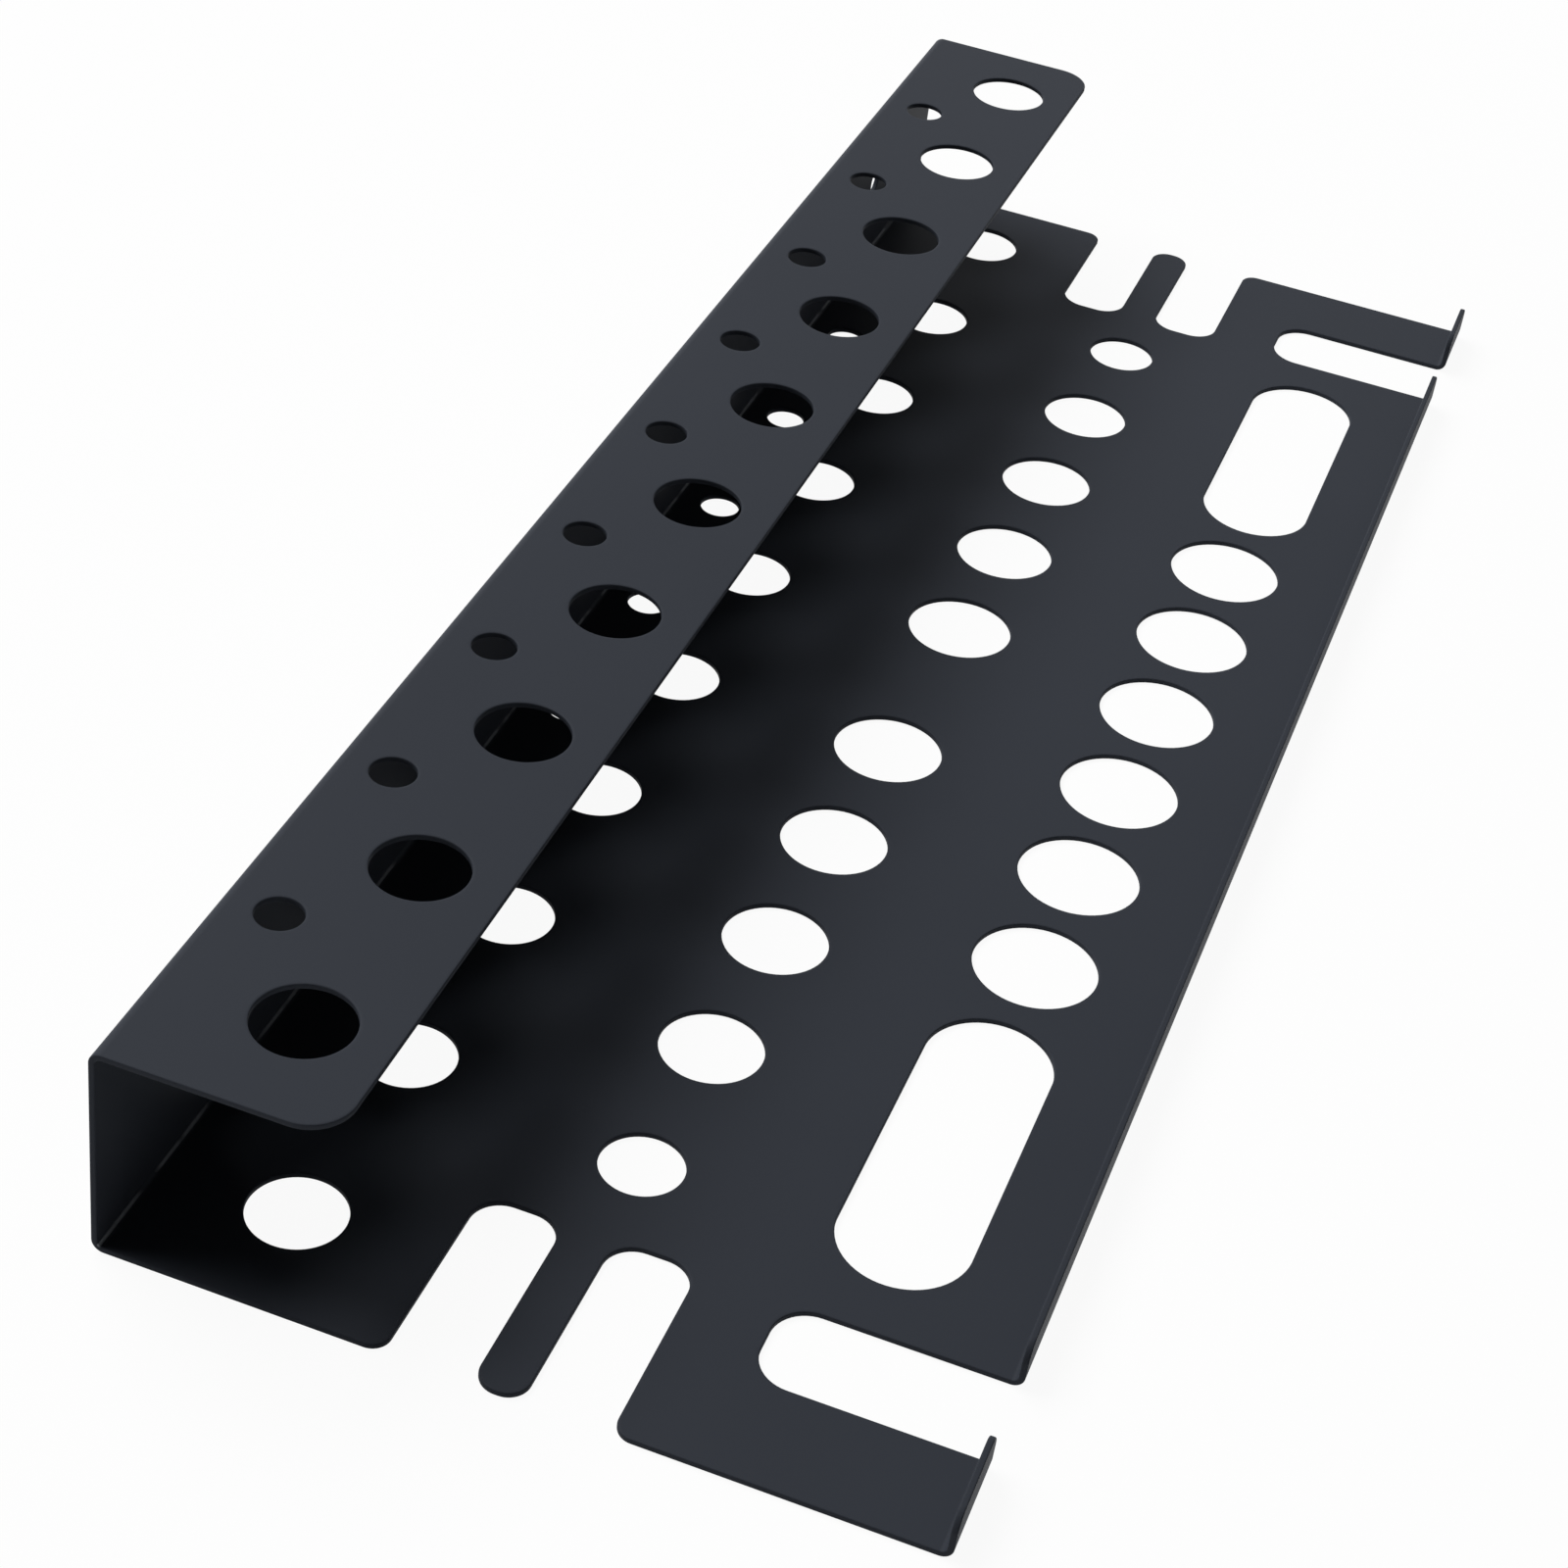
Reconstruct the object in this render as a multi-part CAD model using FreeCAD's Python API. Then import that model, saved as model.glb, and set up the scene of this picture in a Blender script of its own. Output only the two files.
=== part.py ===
import FreeCAD, Part
import math
import os

# Screwdriver rack, punched and folded from one steel sheet and powder coated.
# X runs along the wall, +Y points to the wall and +Z is up. The origin is in the middle
# of the underside, between the lip's front face and the wall face. Millimetres.

Vector = FreeCAD.Vector
UP = Vector(0, 0, 1)
TO_WALL = Vector(0, 1, 0)

# The folded sheet
sheet = 1.0
length = 380.0
depth = 130.0
height = 38.0
flange_depth = 37.0
lip_height = 8.0
bend_radius = 1.0
flange_corner = 7.0
lip_corner = 3.0

# Screwdriver holes, one line in the top flange and one below it in the shelf
driver_pitch = 38.0
driver_hole = 15.4
driver_row = 23.0

# Small holes for thin shafts, midway between the screwdriver holes
thin_hole = 7.5
thin_row = 9.6

# Graded holes, which get smaller from the middle of the shelf outwards. Their row is this
# much in front of the middle between the screwdriver holes and the large holes
graded_offset = 0.3
graded_pitch = 29.45
graded_hole = 19.4
graded_step = 0.8
graded_last_hole = 13.5
graded_margin = 16.3
graded_middle = 15.0

# Large holes between two long slots, a set way behind the front of the shelf
large_from_front = 24.6
large_hole = 21.2
large_gap = 5.45
long_slot = 63.8
long_slot_margin = 9.7

# Two open slots in each end of the shelf, with a finger between them that stands this much
# nearer the wall than the graded holes
finger_offset = 1.5
end_slot_width = 13.3
end_slot_depth = 34.4
end_slot_corner = 5.0
finger_width = 7.8
finger_tip_corner = 3.6
end_corner = 3.0

# One slot at each end of the front edge, open through the lip
front_slot_width = 15.8
front_slot_depth = 36.4
front_slot_corner = 6.0
tab_width = 18.0

# Screw holes in the wall web
wall_hole = 5.5

# How far a cutting tool runs past the sheet, and the length below which two points are one
overrun = 5.0
shortest_edge = 0.001

large_row = depth - large_from_front
graded_row = (driver_row + large_row) / 2 + graded_offset
finger_row = graded_row - finger_offset
end_x = length / 2
wall_y = depth / 2
front_y = -depth / 2
flange_edge_y = wall_y - flange_depth
outer_bend = bend_radius + sheet
front_slot_end_y = front_y + front_slot_depth
front_slot_inner_x = end_x - tab_width - front_slot_width
driver_count = int(length / driver_pitch)


def rounded_outline(corners):
    """A closed wire round the (point, radius) corners, with an arc at each one that has a radius."""
    path = []
    for i, (corner, radius) in enumerate(corners):
        back = (corners[i - 1][0] - corner).normalize()
        ahead = (corners[(i + 1) % len(corners)][0] - corner).normalize()
        half_angle = back.getAngle(ahead) / 2
        reach = radius / math.tan(half_angle)
        inward = (back + ahead).normalize()
        centre = corner + inward * (radius / math.sin(half_angle))
        path.append((corner + back * reach, centre - inward * radius, corner + ahead * reach, radius))
    edges = []
    for i, (start, middle, finish, radius) in enumerate(path):
        if path[i - 1][2].distanceToPoint(start) > shortest_edge:
            edges.append(Part.makeLine(path[i - 1][2], start))
        if radius > 0:
            edges.append(Part.Arc(start, middle, finish).toShape())
    return Part.Wire(edges)


def upright(outline, low, high):
    """A tool with a plan outline, drawn at height 0, that stands from low to high."""
    tool = Part.Face(outline).extrude(UP * (high - low))
    return tool.translate(UP * low)


def upright_plan(points, low, high):
    """The same tool from a list of (x, y, radius)."""
    return upright(rounded_outline([(Vector(x, y, 0), radius) for x, y, radius in points]), low, high)


def round_hole(x, from_wall, diameter, level):
    """A tool for a hole through the sheet whose underside is at level."""
    base = Vector(x, wall_y - from_wall, level - overrun)
    return Part.makeCylinder(diameter / 2, sheet + 2 * overrun, base, UP)


def folded_channel():
    """Lip, shelf, web and top flange in section, drawn along the whole length."""
    section = [
        (front_y, lip_height, 0),
        (front_y, 0, outer_bend),
        (wall_y, 0, outer_bend),
        (wall_y, height, outer_bend),
        (flange_edge_y, height, 0),
        (flange_edge_y, height - sheet, 0),
        (wall_y - sheet, height - sheet, bend_radius),
        (wall_y - sheet, sheet, bend_radius),
        (front_y + sheet, sheet, bend_radius),
        (front_y + sheet, lip_height, 0),
    ]
    outline = rounded_outline([(Vector(-end_x, y, z), radius) for y, z, radius in section])
    return Part.Face(outline).extrude(Vector(length, 0, 0))


def round_flange_corners(body):
    """The two free corners of the top flange."""
    edges = [
        edge for edge in body.Edges
        if abs(edge.tangentAt(edge.FirstParameter).z) > 0.999
        and abs(edge.CenterOfMass.y - flange_edge_y) < sheet / 10
        and abs(abs(edge.CenterOfMass.x) - end_x) < sheet / 10
    ]
    return body.makeFillet(flange_corner, edges)


def round_lip_corners(body):
    """The upper corners of the lip, at its ends and beside both front slots."""
    edges = [
        edge for edge in body.Edges
        if abs(edge.tangentAt(edge.FirstParameter).y) > 0.999
        and abs(edge.CenterOfMass.z - lip_height) < sheet / 10
        and edge.CenterOfMass.y < front_y + sheet
    ]
    upright_part = lip_height - outer_bend
    return body.makeFillet(min(lip_corner, 0.9 * upright_part), edges)


def front_slot(side):
    """The slot in the front edge, which also parts the lip."""
    outer_x = side * (end_x - tab_width)
    inner_x = side * front_slot_inner_x
    plan = [
        (outer_x, front_y - overrun, 0),
        (outer_x, front_slot_end_y, front_slot_corner),
        (inner_x, front_slot_end_y, front_slot_corner),
        (inner_x, front_y - overrun, 0),
    ]
    return upright_plan(plan, -overrun, lip_height + overrun)


def end_slots(side):
    """Both slots in one end of the shelf, round the finger that they leave between them."""
    outside_x = side * (end_x + overrun)
    mouth_x = side * end_x
    inner_x = side * (end_x - end_slot_depth)
    finger_y = wall_y - finger_row
    finger_side = finger_width / 2
    slot_side = finger_side + end_slot_width
    plan = [
        (outside_x, finger_y + slot_side + 2 * end_corner, 0),
        (mouth_x, finger_y + slot_side + 2 * end_corner, 0),
        (mouth_x, finger_y + slot_side, end_corner),
        (inner_x, finger_y + slot_side, end_slot_corner),
        (inner_x, finger_y + finger_side, end_slot_corner),
        (mouth_x, finger_y + finger_side, finger_tip_corner),
        (mouth_x, finger_y - finger_side, finger_tip_corner),
        (inner_x, finger_y - finger_side, end_slot_corner),
        (inner_x, finger_y - slot_side, end_slot_corner),
        (mouth_x, finger_y - slot_side, end_corner),
        (mouth_x, finger_y - slot_side - 2 * end_corner, 0),
        (outside_x, finger_y - slot_side - 2 * end_corner, 0),
    ]
    return upright_plan(plan, -overrun, sheet + overrun)


def driver_places():
    """Where the screwdriver holes stand along the length."""
    first = -driver_pitch * (driver_count - 1) / 2
    return [first + driver_pitch * i for i in range(driver_count)]


def thin_places():
    """Midway between the screwdriver holes."""
    return [x + driver_pitch / 2 for x in driver_places()[:-1]]


def driver_holes(level):
    """The screwdriver holes and the small holes, the same in the flange and in the shelf."""
    holes = [round_hole(x, driver_row, driver_hole, level) for x in driver_places()]
    return holes + [round_hole(x, thin_row, thin_hole, level) for x in thin_places()]


def graded_holes():
    """From each end slot inwards: the smallest hole, then larger ones up to the middle."""
    last_x = end_x - end_slot_depth - graded_margin
    per_side = int((last_x - graded_middle) / graded_pitch) + 1
    holes = []
    for side in (-1, 1):
        holes.append(round_hole(side * last_x, graded_row, graded_last_hole, 0))
        for i in range(1, per_side):
            x = last_x - graded_pitch * i
            smaller = graded_step * (per_side - 1 - i)
            holes.append(round_hole(side * x, graded_row, graded_hole - smaller, 0))
    return holes


def long_slots():
    """The two round-ended slots outside the large holes."""
    outer_x = front_slot_inner_x - long_slot_margin
    radius = large_hole / 2
    y = wall_y - large_row
    slots = []
    for side in (-1, 1):
        near_x = side * (outer_x - long_slot)
        far_x = side * outer_x
        plan = [
            (near_x, y - radius, radius),
            (far_x, y - radius, radius),
            (far_x, y + radius, radius),
            (near_x, y + radius, radius),
        ]
        slots.append(upright_plan(plan, -overrun, sheet + overrun))
    return slots


def large_holes():
    """As many large holes as fit between the long slots, a gap apart."""
    room = 2 * (front_slot_inner_x - long_slot_margin - long_slot)
    pitch = large_hole + large_gap
    count = round((room - large_gap) / pitch)
    first = -pitch * (count - 1) / 2
    return [round_hole(first + pitch * i, large_row, large_hole, 0) for i in range(count)]


def wall_holes():
    """One screw hole near each end of the web, halfway up, between two screwdriver holes."""
    holes = []
    for x in (thin_places()[0], thin_places()[-1]):
        base = Vector(x, wall_y - sheet - overrun, height / 2)
        holes.append(Part.makeCylinder(wall_hole / 2, sheet + 2 * overrun, base, TO_WALL))
    return holes


def rack():
    body = round_flange_corners(folded_channel())
    body = round_lip_corners(body.cut([front_slot(-1), front_slot(1)]))
    cuts = [end_slots(-1), end_slots(1)]
    cuts += driver_holes(0)
    cuts += driver_holes(height - sheet)
    cuts += graded_holes()
    cuts += long_slots()
    cuts += large_holes()
    cuts += wall_holes()
    return body.cut(cuts)


os.makedirs("parts", exist_ok=True)
folded = rack()
solid = folded.Solids[0]
print("solids", len(folded.Solids), "valid", folded.isValid(), "volume", round(folded.Volume, 1))
solid.exportStep("parts/rack_sheet.step")
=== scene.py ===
import math

import bmesh
import bpy
from mathutils import Matrix, Vector


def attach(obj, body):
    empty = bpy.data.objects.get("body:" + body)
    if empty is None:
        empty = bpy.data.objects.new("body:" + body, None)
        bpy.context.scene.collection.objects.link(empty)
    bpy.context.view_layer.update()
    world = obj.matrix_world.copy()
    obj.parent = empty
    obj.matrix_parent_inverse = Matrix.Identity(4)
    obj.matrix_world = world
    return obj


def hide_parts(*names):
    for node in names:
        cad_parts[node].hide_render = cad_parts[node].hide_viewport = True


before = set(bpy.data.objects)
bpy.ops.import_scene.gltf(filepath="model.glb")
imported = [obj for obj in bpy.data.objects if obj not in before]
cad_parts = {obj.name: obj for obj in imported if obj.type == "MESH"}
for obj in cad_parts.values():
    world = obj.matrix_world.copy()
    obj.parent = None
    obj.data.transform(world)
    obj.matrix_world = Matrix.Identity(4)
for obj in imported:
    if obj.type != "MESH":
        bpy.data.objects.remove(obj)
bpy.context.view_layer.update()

# The flat blank: one steel sheet, 1 mm thick, cut and punched in a single press before it is
# folded. Its shelf lies where it stays, the lip runs on in front of it, and the web and the top
# flange run on behind it. Sizes are in millimetres until the sheet is finished.
sheet = 1.0
length = 380.0
depth = 130.0
height = 38.0
flange_depth = 37.0
lip_height = 8.0
bend_radius = 1.0
outer_bend = bend_radius + sheet

end_x = length / 2
wall_y = depth / 2
front_y = -depth / 2

# The stretch of flat sheet that each right-angled bend uses up, along the layer of the sheet
# that neither stretches nor shrinks
neutral_layer = 0.4
bend_stretch = (bend_radius + neutral_layer * sheet) * math.pi / 2
web_bend_y = wall_y - outer_bend
web_y = web_bend_y + bend_stretch
flange_bend_y = web_y + height - 2 * outer_bend
flange_y = flange_bend_y + bend_stretch
flange_edge_y = flange_y + flange_depth - outer_bend
lip_bend_y = front_y + outer_bend
lip_edge_y = lip_bend_y - bend_stretch - (lip_height - outer_bend)

# The rows of holes, each a distance in front of the wall
driver_row = 23.0
thin_row = 9.6
large_from_front = 24.6
large_row = depth - large_from_front
graded_offset = 0.3
graded_row = (driver_row + large_row) / 2 + graded_offset

# The slots that are open at the front and at the ends, with a finger between each end's two
tab_width = 18.0
front_slot_width = 15.8
front_slot_depth = 36.4
front_slot_outer_x = end_x - tab_width
front_slot_inner_x = front_slot_outer_x - front_slot_width
front_slot_end_y = front_y + front_slot_depth
end_slot_width = 13.3
end_slot_depth = 34.4
finger_width = 7.8
finger_offset = 1.5
end_slot_x = end_x - end_slot_depth
finger_y = wall_y - (graded_row - finger_offset)
finger_side = finger_width / 2
slot_side = finger_side + end_slot_width

lip_corner = 3.0
front_slot_corner = 6.0
end_corner = 3.0
end_slot_corner = 5.0
finger_tip_corner = 3.6
flange_corner = 7.0

right_side = [
    (front_slot_inner_x, lip_edge_y, lip_corner),
    (front_slot_inner_x, front_slot_end_y, front_slot_corner),
    (front_slot_outer_x, front_slot_end_y, front_slot_corner),
    (front_slot_outer_x, lip_edge_y, lip_corner),
    (end_x, lip_edge_y, lip_corner),
    (end_x, finger_y - slot_side, end_corner),
    (end_slot_x, finger_y - slot_side, end_slot_corner),
    (end_slot_x, finger_y - finger_side, end_slot_corner),
    (end_x, finger_y - finger_side, finger_tip_corner),
    (end_x, finger_y + finger_side, finger_tip_corner),
    (end_slot_x, finger_y + finger_side, end_slot_corner),
    (end_slot_x, finger_y + slot_side, end_slot_corner),
    (end_x, finger_y + slot_side, end_corner),
    (end_x, flange_edge_y, flange_corner),
]
left_side = [(-x, y, corner) for x, y, corner in reversed(right_side)]

corner_facets = 12
blank = bmesh.new()
outline = [(blank.verts.new((x, y, sheet)), corner) for x, y, corner in right_side + left_side]
blank.faces.new([vert for vert, corner in outline])
by_corner = {}
for vert, corner in outline:
    by_corner.setdefault(corner, []).append(vert)
for corner, verts in by_corner.items():
    bmesh.ops.bevel(
        blank, geom=verts, offset=corner, offset_type="OFFSET", segments=corner_facets,
        profile=0.5, affect="VERTICES", material=-1, clamp_overlap=False,
    )
bmesh.ops.delete(blank, geom=blank.faces[:], context="FACES_KEEP_BOUNDARY")

hole_facets = 64


def punch(x, y, diameter, longer=0.0):
    """The edge of a punched hole. longer draws it out along the sheet into a slot."""
    half_facet = Matrix.Rotation(math.pi / hole_facets, 4, "Z")
    edge = bmesh.ops.create_circle(
        blank, cap_ends=False, segments=hole_facets, radius=diameter / 2,
        matrix=Matrix.Translation((x, y, sheet)) @ half_facet,
    )["verts"]
    if longer:
        for side in (-1, 1):
            end = [vert for vert in edge if (vert.co.x - x) * side > 0]
            bmesh.ops.translate(blank, verts=end, vec=(side * longer / 2, 0, 0))


def row_of(count, pitch):
    """Places along the rack, evenly spaced about its middle."""
    return [pitch * (place - (count - 1) / 2) for place in range(count)]


# The screwdriver holes and the thin ones between them, in the shelf and again in the flange,
# and a screw hole near each end of the web
driver_hole = 15.4
driver_pitch = 38.0
driver_count = 10
thin_hole = 7.5
wall_hole = 5.5
thin_places = row_of(driver_count - 1, driver_pitch)
for x in row_of(driver_count, driver_pitch):
    punch(x, wall_y - driver_row, driver_hole)
    punch(x, flange_y + driver_row - outer_bend, driver_hole)
for x in thin_places:
    punch(x, wall_y - thin_row, thin_hole)
    punch(x, flange_y + thin_row - outer_bend, thin_hole)
for x in (thin_places[0], thin_places[-1]):
    punch(x, web_y + height / 2 - outer_bend, wall_hole)

# The graded holes, from each end slot inwards to the middle
graded_holes = [13.5, 17.0, 17.8, 18.6, 19.4]
graded_margin = 16.3
graded_pitch = 29.45
for side in (-1, 1):
    for step, diameter in enumerate(graded_holes):
        x = end_slot_x - graded_margin - graded_pitch * step
        punch(side * x, wall_y - graded_row, diameter)

# The large holes, and a long slot of the same width on each side of them
large_hole = 21.2
large_gap = 5.45
large_count = 6
long_slot = 63.8
long_slot_margin = 9.7
for x in row_of(large_count, large_hole + large_gap):
    punch(x, wall_y - large_row, large_hole)
for side in (-1, 1):
    x = front_slot_inner_x - long_slot_margin - long_slot / 2
    punch(side * x, wall_y - large_row, large_hole, long_slot - large_hole)

bmesh.ops.triangle_fill(
    blank, use_beauty=True, use_dissolve=False, edges=blank.edges[:], normal=(0, 0, 1)
)

# The sheet's thickness and its cut edges. Coating powder is drawn off sharp edges and melts
# over them, so every rim of the blank is a small even round. A narrow band of faces round each
# cut comes first, for the rim to be rounded within.
rim_band = 0.6
rim_round = 0.22
rim_facets = 3
rim_turn = math.radians(60)
bmesh.ops.inset_region(
    blank, faces=blank.faces[:], thickness=rim_band, depth=0.0,
    use_boundary=True, use_even_offset=True,
)
under = bmesh.ops.extrude_face_region(blank, geom=blank.faces[:], use_keep_orig=True)["geom"]
under_verts = [part for part in under if isinstance(part, bmesh.types.BMVert)]
bmesh.ops.translate(blank, verts=under_verts, vec=(0, 0, -sheet))
bmesh.ops.recalc_face_normals(blank, faces=blank.faces[:])
rims = [edge for edge in blank.edges if edge.calc_face_angle(0.0) > rim_turn]
bmesh.ops.bevel(
    blank, geom=rims, offset=rim_round, offset_type="OFFSET", segments=rim_facets,
    profile=0.5, affect="EDGES", material=-1, clamp_overlap=False,
)

# The three folds, made on a press brake: the top flange first, then the web with the flange on
# it, and last the lip. Each is a right angle round the same inner radius.
fold_steps = 8
same_line = 0.0005
bend_lines = [
    start + towards * bend_stretch * step / fold_steps
    for start, towards in ((flange_bend_y, 1), (web_bend_y, 1), (lip_bend_y, -1))
    for step in range(fold_steps + 1)
]
for line in bend_lines:
    everything = blank.verts[:] + blank.edges[:] + blank.faces[:]
    bmesh.ops.bisect_plane(
        blank, geom=everything, dist=same_line, plane_co=(0, line, 0), plane_no=(0, 1, 0)
    )


def fold(start, towards):
    """Turns the sheet up through a right angle from y start, on the side that towards says."""
    near = 0.002
    past = [(vert.co.y - start) * towards / bend_stretch for vert in blank.verts]
    axis = Vector((0, start, sheet + bend_radius))
    for step in range(1, fold_steps + 1):
        share = step / fold_steps
        on_line = [vert for vert, at in zip(blank.verts, past) if abs(at - share) < near]
        if step == fold_steps:
            on_line = [vert for vert, at in zip(blank.verts, past) if at > 1 - near]
        bmesh.ops.translate(blank, verts=on_line, vec=(0, -towards * bend_stretch * share, 0))
        turn = Matrix.Rotation(towards * share * math.pi / 2, 3, "X")
        bmesh.ops.rotate(blank, cent=axis, matrix=turn, verts=on_line)


fold(flange_bend_y, 1)
fold(web_bend_y, 1)
fold(lip_bend_y, -1)

metres = 0.001
bmesh.ops.scale(blank, vec=(metres, metres, metres), verts=blank.verts[:])
for face in blank.faces:
    face.smooth = True
rack_mesh = bpy.data.meshes.new("folded_rack")
blank.to_mesh(rack_mesh)
blank.free()
rack = bpy.data.objects.new("folded_rack", rack_mesh)
bpy.context.scene.collection.objects.link(rack)
even_shading = rack.modifiers.new("even_shading", "WEIGHTED_NORMAL")
even_shading.weight = 50

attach(rack, "root")
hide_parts("rack_sheet")


# The coat: black powder, sprayed on and baked to a skin. It has the fine orange peel of sprayed
# powder, and its gloss wanders a little where the powder lay thicker. That gloss is set well
# below real powder's, because the white room would lighten the shadows with it.
class Wire:
    """A shader socket that the signs + - * work on."""

    def __init__(self, finish, socket):
        self.finish = finish
        self.socket = socket

    def worked_out(self, operation, first, second):
        made = self.finish.node("ShaderNodeMath", {"operation": operation}, {0: first, 1: second})
        return made["Value"]

    def __add__(self, other):
        return self.worked_out("ADD", self, other)

    def __sub__(self, other):
        return self.worked_out("SUBTRACT", self, other)

    def __rsub__(self, other):
        return self.worked_out("SUBTRACT", other, self)

    def __mul__(self, other):
        return self.worked_out("MULTIPLY", self, other)

    __radd__ = __add__
    __rmul__ = __mul__


class Made:
    """A node whose outputs are asked for by name or number."""

    def __init__(self, finish, node):
        self.finish = finish
        self.node = node

    def __getitem__(self, output):
        return Wire(self.finish, self.node.outputs[output])


class Finish:
    """A material or the world, as a tree that nodes are added to."""

    def __init__(self, owner):
        owner.use_nodes = True
        self.tree = owner.node_tree
        self.tree.nodes.clear()

    def node(self, kind, settings, inputs):
        """Adds a node, with its settings first and then the values or links of its sockets."""
        node = self.tree.nodes.new(kind)
        for name, setting in settings.items():
            setattr(node, name, setting)
        for name, given in inputs.items():
            if isinstance(given, Wire):
                self.tree.links.new(given.socket, node.inputs[name])
            else:
                node.inputs[name].default_value = given
        return Made(self, node)


powder_coat = bpy.data.materials.new("powder_coat")
coat = Finish(powder_coat)
on_rack = coat.node("ShaderNodeTexCoord", {}, {})["Object"]


def mottle(scale, detail):
    """A soft random pattern on the rack, from 0 to 1. scale is its spots to a metre."""
    inputs = {"Vector": on_rack, "Scale": scale, "Detail": detail, "Roughness": 0.55}
    return coat.node("ShaderNodeTexNoise", {}, inputs)["Fac"]


thin_powder = (0.031, 0.035, 0.044, 1.0)
thick_powder = (0.039, 0.044, 0.055, 1.0)
build_up = mottle(11.0, 3.0)
peel = mottle(900.0, 2.0)
grain = mottle(3200.0, 1.0)
black = coat.node(
    "ShaderNodeMix", {"data_type": "RGBA"}, {"Factor": build_up, "A": thin_powder, "B": thick_powder}
)[2]

# A painted highlight: a broken pale hairline along the middle of the inside bend between shelf and
# web, painted into the colour in place of the light that the bend's curve reflects.
bend_highlight_colour = (0.42, 0.44, 0.47, 1.0)
bend_highlight_half_width = 0.34
across = coat.node("ShaderNodeSeparateXYZ", {}, {"Vector": on_rack})
bend_middle = bend_radius * math.sqrt(0.5)
from_line_y = across["Y"] - (web_bend_y + bend_middle) * metres
from_line_z = across["Z"] - (outer_bend - bend_middle) * metres
bend_highlight_mask = coat.node(
    "ShaderNodeMapRange",
    {},
    {
        "Value": from_line_y * from_line_y + from_line_z * from_line_z,
        "From Min": 0.0,
        "From Max": (bend_highlight_half_width * metres) ** 2,
        "To Min": 1.0,
        "To Max": 0.0,
    },
)["Result"]
bend_highlight_unbroken = coat.node(
    "ShaderNodeMapRange", {}, {"Value": mottle(120.0, 2.0), "From Min": 0.42, "From Max": 0.56}
)["Result"]
# The painted highlight is mixed over the powder's black here, broken up by a soft random pattern.
colour = coat.node(
    "ShaderNodeMix",
    {"data_type": "RGBA"},
    {"Factor": bend_highlight_mask * bend_highlight_unbroken, "A": black, "B": bend_highlight_colour},
)[2]
peel_height = 0.00003
peel_bump = coat.node(
    "ShaderNodeBump",
    {},
    {"Strength": 0.3, "Distance": peel_height, "Height": peel * 0.7 + grain * 0.3},
)["Normal"]
skin = coat.node(
    "ShaderNodeBsdfPrincipled",
    {},
    {
        "Base Color": colour,
        "Roughness": 0.45 + 0.1 * build_up,
        "IOR": 1.5,
        "Specular IOR Level": 0.035,
        "Normal": peel_bump,
    },
)["BSDF"]
coat.node("ShaderNodeOutputMaterial", {}, {"Surface": skin})
rack.data.materials.append(powder_coat)

# The floor: a white sheet that runs on past the picture. It shows as white to the camera and
# keeps part of the rack's shadow, and further off it is as white as the room.
floor_half_width = 40.0
floor_z = -0.0001
ground = bmesh.new()
bmesh.ops.create_grid(
    ground, x_segments=1, y_segments=1, size=floor_half_width,
    matrix=Matrix.Translation((0, 0, floor_z)),
)
floor_mesh = bpy.data.meshes.new("floor")
ground.to_mesh(floor_mesh)
ground.free()
floor = bpy.data.objects.new("floor", floor_mesh)
bpy.context.scene.collection.objects.link(floor)


def shown_white(finish):
    """1 for the rays that show the surroundings: to the camera, in gloss and through glass."""
    ray = finish.node("ShaderNodeLightPath", {}, {})
    return ray["Is Camera Ray"] + ray["Is Glossy Ray"] + ray["Is Transmission Ray"]


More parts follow.
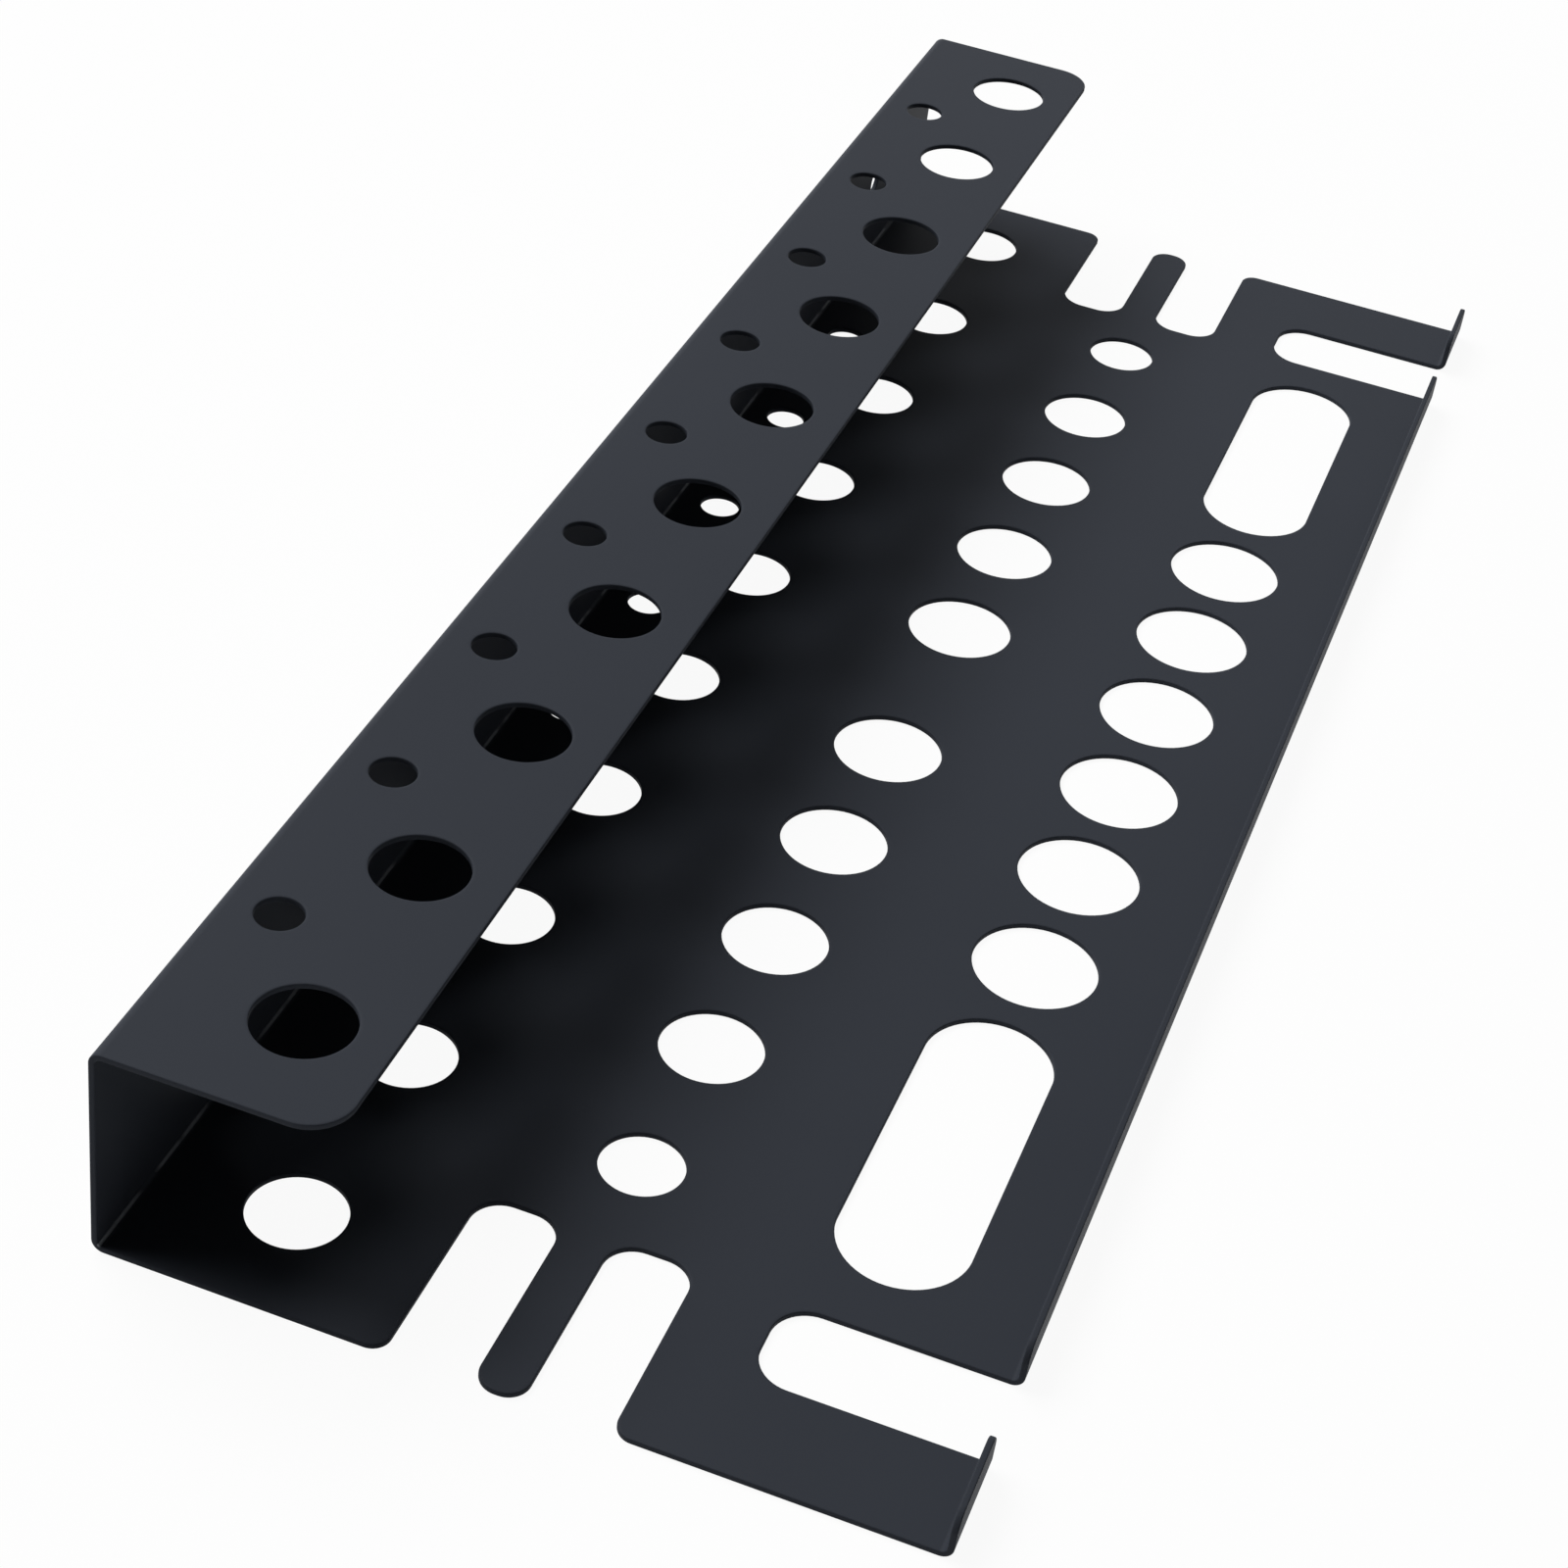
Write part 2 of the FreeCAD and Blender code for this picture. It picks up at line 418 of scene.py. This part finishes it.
floor_paper = bpy.data.materials.new("floor_paper")
paper = Finish(floor_paper)
seen = shown_white(paper)
matt = paper.node("ShaderNodeBsdfDiffuse", {}, {"Color": (0.9, 0.9, 0.9, 1.0)})["BSDF"]
glow = paper.node("ShaderNodeEmission", {}, {"Strength": 1.0})["Emission"]
on_floor = paper.node("ShaderNodeTexCoord", {}, {})["Object"]
from_rack = paper.node("ShaderNodeVectorMath", {"operation": "LENGTH"}, {0: on_floor})["Value"]
share = paper.node(
    "ShaderNodeMapRange",
    {},
    {"Value": from_rack, "From Min": 0.3, "From Max": 1.0, "To Min": 0.94, "To Max": 1.0},
)["Result"]
mixed = paper.node("ShaderNodeMixShader", {}, {"Fac": seen * share, 1: matt, 2: glow})["Shader"]
paper.node("ShaderNodeOutputMaterial", {}, {"Surface": mixed})
floor.data.materials.append(floor_paper)

# The light: a room that looks white and gives little light, and one wide soft lamp. The lamp
# stands high up, well back on the wall side and past the rack's far end, so that the shelf
# under the flange stays dark.
white_light = (1.0, 1.0, 1.0, 1.0)
room = bpy.data.worlds.new("room")
bpy.context.scene.world = room
walls = Finish(room)
seen = shown_white(walls)
white = walls.node("ShaderNodeBackground", {}, {"Color": white_light, "Strength": 1.0})
soft = walls.node("ShaderNodeBackground", {}, {"Color": white_light, "Strength": 0.03})
both = walls.node(
    "ShaderNodeMixShader", {}, {"Fac": seen, 1: soft["Background"], 2: white["Background"]}
)["Shader"]
walls.node("ShaderNodeOutputWorld", {}, {"Surface": both})

lamp = bpy.data.lights.new("overhead", "AREA")
lamp.shape = "RECTANGLE"
lamp.size = 4.0
lamp.size_y = 2.6
lamp.energy = 246.0
overhead = bpy.data.objects.new("overhead", lamp)
overhead.location = (0.9, 2.6, 3.6)
overhead.rotation_euler = (-overhead.location).to_track_quat("-Z", "Y").to_euler()
bpy.context.scene.collection.objects.link(overhead)

# The camera stands past the near end of the rack and above its front. It has no shift, so this
# is the place and lens that come nearest to the photograph's view, and not its very own.
camera_data = bpy.data.cameras.new("camera")
camera_data.sensor_width = 36.0
camera_data.lens = 74.79
camera_data.clip_start = 0.01
camera = bpy.data.objects.new("camera", camera_data)
camera.location = (-0.47895, -0.10306, 0.34358)
camera.rotation_euler = [math.radians(turn) for turn in (52.655, -6.645, -70.065)]
bpy.context.scene.collection.objects.link(camera)
bpy.context.scene.camera = camera
bpy.context.scene.view_settings.view_transform = "Standard"
